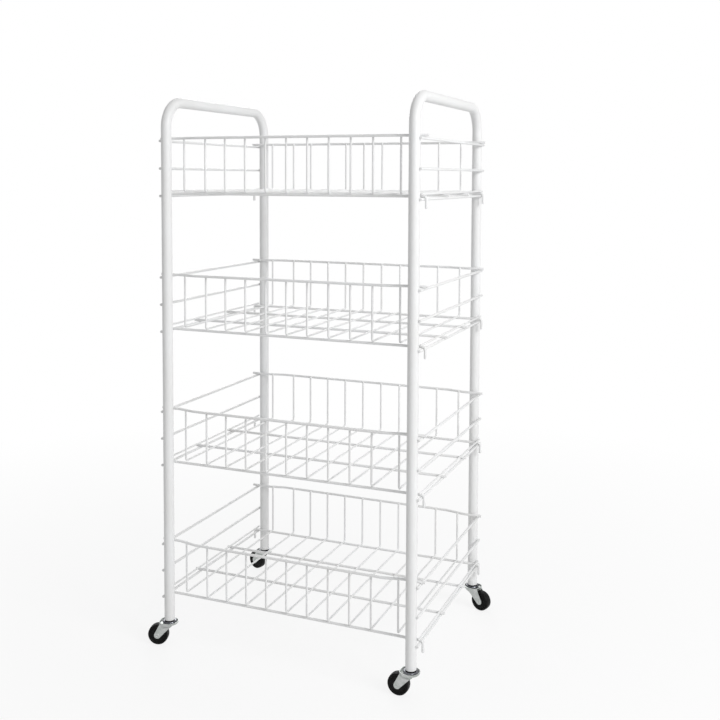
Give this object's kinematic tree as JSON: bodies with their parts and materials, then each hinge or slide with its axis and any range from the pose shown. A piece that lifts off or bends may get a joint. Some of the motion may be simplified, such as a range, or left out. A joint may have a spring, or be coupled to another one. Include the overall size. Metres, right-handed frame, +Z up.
{
  "type": "rolling utility cart",
  "caption": "Open rolling cart: bent-tube side frames with welded wires carry stacked, hooked wire trays, on swivel casters with small solid wheels",
  "frame": {"origin": "centre of the footprint of the whole cart, on the floor that the wheels stand on", "axes": "+Z up, +X to the right and -Y to the front, so that the two bent tubes stand at -X and +X"},
  "size_m": [0.4682, 0.344, 0.854],
  "materials": {
    "white_powder_coat": "smooth white powder coat, semi-gloss",
    "bright_zinc": "bright zinc-plated pressed steel, satin",
    "dark_zinc": "darker zinc-plated and oiled steel",
    "black_nylon": "moulded black nylon, slightly glossy"
  },
  "bodies": {
    "cart_frame": {"left_frame_tube": "white_powder_coat", "right_frame_tube": "white_powder_coat", "left_side_wires_top": "white_powder_coat", "right_side_wires_top": "white_powder_coat", "top_tray_rim_wires": "white_powder_coat", "top_tray_ribs": "white_powder_coat", "top_tray_floor_wires": "white_powder_coat", "left_side_wires_upper": "white_powder_coat", "right_side_wires_upper": "white_powder_coat", "upper_tray_rim_wires": "white_powder_coat", "upper_tray_ribs": "white_powder_coat", "upper_tray_floor_wires": "white_powder_coat", "left_side_wires_lower": "white_powder_coat", "right_side_wires_lower": "white_powder_coat", "lower_tray_rim_wires": "white_powder_coat", "lower_tray_ribs": "white_powder_coat", "lower_tray_floor_wires": "white_powder_coat", "left_side_wires_bottom": "white_powder_coat", "right_side_wires_bottom": "white_powder_coat", "bottom_tray_rim_wires": "white_powder_coat", "bottom_tray_ribs": "white_powder_coat", "bottom_tray_floor_wires": "white_powder_coat", "front_left_tube_plug": "black_nylon", "front_left_caster_stem": "bright_zinc", "front_left_race_cup": "dark_zinc", "front_left_ball_race": "dark_zinc", "front_right_tube_plug": "black_nylon", "front_right_caster_stem": "bright_zinc", "front_right_race_cup": "dark_zinc", "front_right_ball_race": "dark_zinc", "back_left_tube_plug": "black_nylon", "back_left_caster_stem": "bright_zinc", "back_left_race_cup": "dark_zinc", "back_left_ball_race": "dark_zinc", "back_right_tube_plug": "black_nylon", "back_right_caster_stem": "bright_zinc", "back_right_race_cup": "dark_zinc", "back_right_ball_race": "dark_zinc"},
    "front_left_swivel": {"front_left_fork": "bright_zinc", "front_left_wheel_axle": "bright_zinc"},
    "front_left_wheel": {"front_left_wheel": "black_nylon"},
    "front_right_swivel": {"front_right_fork": "bright_zinc", "front_right_wheel_axle": "bright_zinc"},
    "front_right_wheel": {"front_right_wheel": "black_nylon"},
    "back_left_swivel": {"back_left_fork": "bright_zinc", "back_left_wheel_axle": "bright_zinc"},
    "back_left_wheel": {"back_left_wheel": "black_nylon"},
    "back_right_swivel": {"back_right_fork": "bright_zinc", "back_right_wheel_axle": "bright_zinc"},
    "back_right_wheel": {"back_right_wheel": "black_nylon"}
  },
  "joints": [
    {"name": "front_left_swivel_turn", "type": "hinge", "parent": "cart_frame", "child": "front_left_swivel", "pos_m": [-0.2, -0.157, 0.0335], "axis": [0, 0, 1], "continuous": true},
    {"name": "front_left_wheel_spin", "type": "hinge", "parent": "front_left_swivel", "child": "front_left_wheel", "pos_m": [-0.2173, -0.16196, 0.016], "axis": [0.2756, -0.9613, 0], "continuous": true},
    {"name": "front_right_swivel_turn", "type": "hinge", "parent": "cart_frame", "child": "front_right_swivel", "pos_m": [0.2, -0.157, 0.0335], "axis": [0, 0, 1], "continuous": true},
    {"name": "front_right_wheel_spin", "type": "hinge", "parent": "front_right_swivel", "child": "front_right_wheel", "pos_m": [0.18201, -0.15637, 0.016], "axis": [-0.0349, -0.9994, 0], "continuous": true},
    {"name": "back_left_swivel_turn", "type": "hinge", "parent": "cart_frame", "child": "back_left_swivel", "pos_m": [-0.2, 0.157, 0.0335], "axis": [0, 0, 1], "continuous": true},
    {"name": "back_left_wheel_spin", "type": "hinge", "parent": "back_left_swivel", "child": "back_left_wheel", "pos_m": [-0.2173, 0.16196, 0.016], "axis": [-0.2756, -0.9613, 0], "continuous": true},
    {"name": "back_right_swivel_turn", "type": "hinge", "parent": "cart_frame", "child": "back_right_swivel", "pos_m": [0.2, 0.157, 0.0335], "axis": [0, 0, 1], "continuous": true},
    {"name": "back_right_wheel_spin", "type": "hinge", "parent": "back_right_swivel", "child": "back_right_wheel", "pos_m": [0.2173, 0.15204, 0.016], "axis": [0.2756, 0.9613, 0], "continuous": true}
  ]
}
